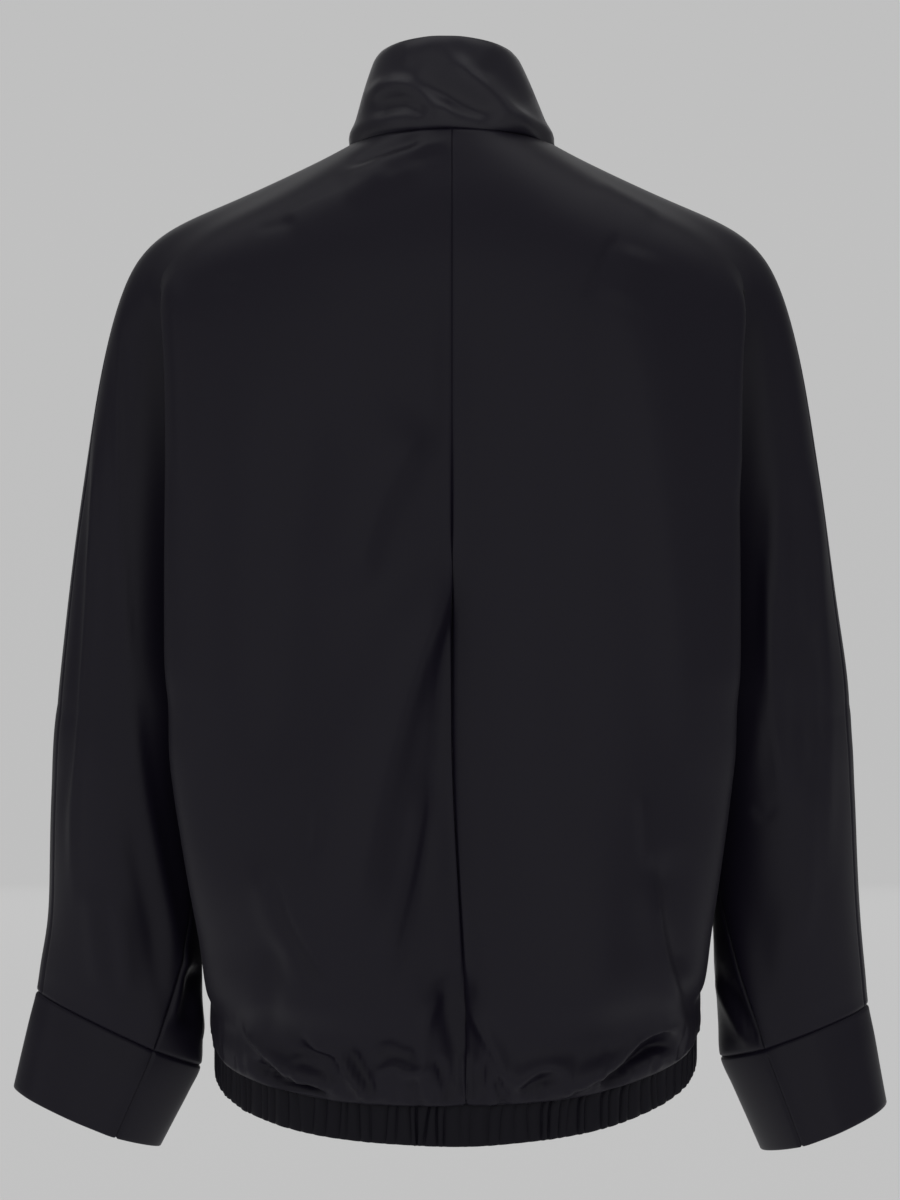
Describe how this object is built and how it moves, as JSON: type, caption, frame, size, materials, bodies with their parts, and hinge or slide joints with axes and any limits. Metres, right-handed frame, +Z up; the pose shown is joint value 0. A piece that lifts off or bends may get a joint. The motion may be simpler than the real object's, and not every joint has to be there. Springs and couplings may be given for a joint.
{
  "type": "track jacket",
  "caption": "Hip-length satin track jacket with dolman sleeves, a stand collar, full zip, ruched elastic waistband and plain cuffs, hollow as worn.",
  "frame": {"origin": "middle of the neck opening, level with the points where the neck seam crosses the shoulders", "axes": "+Z up, front with the zip towards -Y, the wearer's left towards +X"},
  "size_m": [0.6249, 0.2606, 0.7844],
  "materials": {
    "satin": "black satin tricot, soft sheen",
    "zip_tape": "black woven tape",
    "zip_teeth": "black moulded plastic",
    "zip_metal": "black enamel"
  },
  "bodies": {
    "jacket": {"back_left": "satin", "back_right": "satin", "front_left": "satin", "front_right": "satin", "collar": "satin", "waistband": "satin", "cuff_left": "satin", "cuff_right": "satin", "zip_tape_left": "zip_tape", "zip_tape_right": "zip_tape", "zip_chain_left": "zip_teeth", "zip_chain_right": "zip_teeth", "zip_slider": "zip_metal", "zip_box": "zip_metal"},
    "pull_tab": {"pull_tab": "zip_metal"}
  },
  "joints": [
    {"name": "pull_tab_swing", "type": "hinge", "parent": "jacket", "child": "pull_tab", "pos_m": [0, -0.06673, 0.01035], "axis": [-1, 0, 0], "range_deg": [0, 150]}
  ]
}
